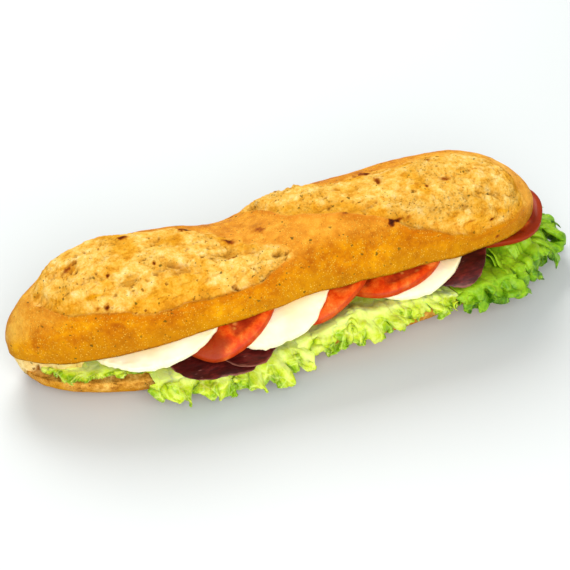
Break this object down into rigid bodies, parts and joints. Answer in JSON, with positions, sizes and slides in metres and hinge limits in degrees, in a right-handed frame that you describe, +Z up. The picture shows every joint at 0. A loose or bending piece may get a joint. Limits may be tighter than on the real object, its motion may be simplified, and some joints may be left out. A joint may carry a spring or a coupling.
{
  "type": "submarine sandwich",
  "caption": "Long slashed half baguette cut through and filled with shingled cheese and tomato slices, cured beef and ruffled lettuce, lying on its flat base.",
  "frame": {"origin": "middle of the loaf's flat base, on the surface that it lies on", "axes": "+X along the loaf towards the end with the large lettuce leaf, -Y towards the open front where the fillings show, +Z up"},
  "size_m": [0.2949, 0.0988, 0.0735],
  "materials": {
    "bread": "baked golden crust with pale torn crumb along the slashes and the cut faces",
    "mozzarella": "smooth moist white cheese",
    "tomato": "wet red flesh with a glossy orange-red skin edge",
    "cured_beef": "dark dried meat, satin, with a thin pale edge of fat",
    "lettuce": "thin crisp leaf, satin, pale ribs and darker frilled margins"
  },
  "bodies": {
    "root": {"bread_bottom": "bread", "bread_top": "bread", "mozzarella_left": "mozzarella", "mozzarella_middle": "mozzarella", "mozzarella_right": "mozzarella", "tomato_left": "tomato", "tomato_middle": "tomato", "tomato_right": "tomato", "tomato_end": "tomato", "cured_beef_lower": "cured_beef", "cured_beef_upper": "cured_beef", "cured_beef_right": "cured_beef", "lettuce_left": "lettuce", "lettuce_front": "lettuce", "lettuce_middle": "lettuce", "lettuce_right": "lettuce", "lettuce_end": "lettuce"}
  },
  "joints": []
}
